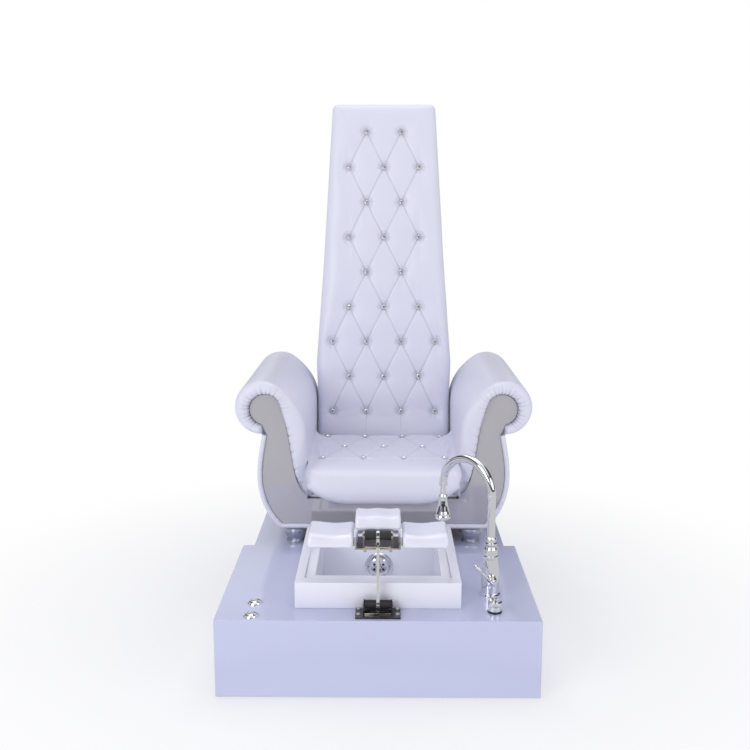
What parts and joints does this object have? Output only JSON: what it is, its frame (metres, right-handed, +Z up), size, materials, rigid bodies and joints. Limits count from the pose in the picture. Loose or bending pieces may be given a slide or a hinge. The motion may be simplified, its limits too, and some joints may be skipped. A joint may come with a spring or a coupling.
{
  "type": "pedicure spa chair",
  "caption": "Throne-style pedicure spa chair with tufted tall back and roll arms on a stepped plinth with foot basin, pull-out tap and folding footrest.",
  "frame": {"origin": "On the floor, on the centre line of the plinths, under the joint between the front and rear plinths, at the underside of the middle levelling foot.", "axes": "+Z up, -Y towards the front where the technician sits, +X to the side that carries the tap."},
  "size_m": [0.9838, 1.4589, 1.7163],
  "materials": {
    "gloss_shell": "gloss white gel coat",
    "basin_gloss": "gloss white",
    "sealant": "satin",
    "timber": "sawn",
    "dark_rubber": "matte",
    "steel": "bright",
    "mirror_steel": "mirror polished",
    "chrome": "polished",
    "brass": "satin",
    "black_plastic": "fine texture",
    "grey_plastic": "satin",
    "hose_braid": "braided",
    "tube_plastic": "translucent white",
    "cable_black": "matte",
    "black_steel": "satin black",
    "pad_gloss": "gloss white moulded pad",
    "silver_turned": "satin silver",
    "board_lacquer": "gloss grey-lilac lacquer",
    "white_leather": "white upholstery leather",
    "crystal": "cut crystal on a plated base"
  },
  "bodies": {
    "chair_base": {"front_plinth_shell": "gloss_shell", "rear_plinth_shell": "gloss_shell", "service_panel": "gloss_shell", "foot_basin": "basin_gloss", "basin_seal": "sealant", "base_frame": "timber", "seat_frame": "timber", "arm_cores": "timber", "back_frame": "timber", "levelling_feet": "dark_rubber", "base_hinge_bushes": "dark_rubber", "service_screws": "steel", "footrest_screws": "steel", "base_hinge_pin": "steel", "base_stop_plate": "steel", "jet_cover": "chrome", "drain_strainer": "chrome", "tap_body": "chrome", "air_button_bodies": "chrome", "tap_nut": "brass", "water_inlets": "brass", "valve_body": "black_plastic", "power_inlet": "black_plastic", "control_box": "black_plastic", "jet_motor": "black_plastic", "jet_housing": "grey_plastic", "drain_nut": "grey_plastic", "drain_pipe": "grey_plastic", "supply_hoses": "hose_braid", "air_tubes": "tube_plastic", "wiring": "cable_black", "footrest_base": "black_steel", "chair_feet": "silver_turned", "front_board": "board_lacquer", "board_piping": "white_leather", "arm_pads": "white_leather", "seat_cushion": "white_leather", "back_cushion": "white_leather", "back_panel": "white_leather", "seat_buttons": "crystal", "back_buttons": "crystal"},
    "footrest_arm": {"footrest_post": "steel"},
    "footrest_head": {"head_hinge_pin": "steel", "head_hinge_bushes": "dark_rubber", "head_stop_plate": "steel", "head_bracket": "mirror_steel", "pad_riser": "pad_gloss", "centre_pad": "pad_gloss", "side_pads": "pad_gloss"},
    "spout": {"tap_spout": "chrome"},
    "spray": {"spray_head": "chrome", "spray_face": "grey_plastic"},
    "spray_trigger": {"spray_button": "black_plastic"},
    "tap_hub": {"handle_hub": "chrome"},
    "tap_lever": {"handle_lever": "chrome"},
    "fill_valve_knob": {"valve_knob": "chrome"},
    "front_button": {"front_air_button": "chrome"},
    "rear_button": {"rear_air_button": "chrome"},
    "impeller": {"jet_impeller": "grey_plastic"},
    "plug": {"drain_plug": "chrome"}
  },
  "joints": [
    {"name": "footrest_fold", "type": "hinge", "parent": "chair_base", "child": "footrest_arm", "pos_m": [0, -0.5215, 0.25], "axis": [1, 0, 0], "range_deg": [0, 70]},
    {"name": "footrest_head_tilt", "type": "hinge", "parent": "footrest_arm", "child": "footrest_head", "pos_m": [0, -0.5215, 0.45], "axis": [1, 0, 0], "range_deg": [-25, 0]},
    {"name": "spout_swivel", "type": "hinge", "parent": "chair_base", "child": "spout", "pos_m": [0.325, -0.3895, 0.45], "axis": [0, 0, 1], "range_deg": [-90, 28]},
    {"name": "spray_pull", "type": "slide", "parent": "spout", "child": "spray", "axis": [0, 0, -1], "range_m": [0, 0.05]},
    {"name": "spray_button_press", "type": "slide", "parent": "spray", "child": "spray_trigger", "axis": [0, 1, 0], "range_m": [0, 0.002]},
    {"name": "handle_turn", "type": "hinge", "parent": "chair_base", "child": "tap_hub", "pos_m": [0.325, -0.4237, 0.279], "axis": [0, -1, 0], "range_deg": [-45, 45]},
    {"name": "lever_tilt", "type": "hinge", "parent": "tap_hub", "child": "tap_lever", "pos_m": [0.325, -0.4327, 0.279], "axis": [0.7071, 0, 0.7071], "range_deg": [0, 25]},
    {"name": "valve_turn", "type": "hinge", "parent": "chair_base", "child": "fill_valve_knob", "pos_m": [0.325, -0.5185, 0.231], "axis": [0, 0, 1], "range_deg": [0, 90]},
    {"name": "front_button_press", "type": "slide", "parent": "chair_base", "child": "front_button", "axis": [0, 0, -1], "range_m": [0, 0.004]},
    {"name": "rear_button_press", "type": "slide", "parent": "chair_base", "child": "rear_button", "axis": [0, 0, -1], "range_m": [0, 0.004]},
    {"name": "jet_spin", "type": "hinge", "parent": "chair_base", "child": "impeller", "pos_m": [0, -0.0475, 0.187], "axis": [0, -1, 0], "continuous": true},
    {"name": "drain_plug_lift", "type": "slide", "parent": "chair_base", "child": "plug", "axis": [0, 0, 1], "range_m": [0, 0.008]}
  ]
}
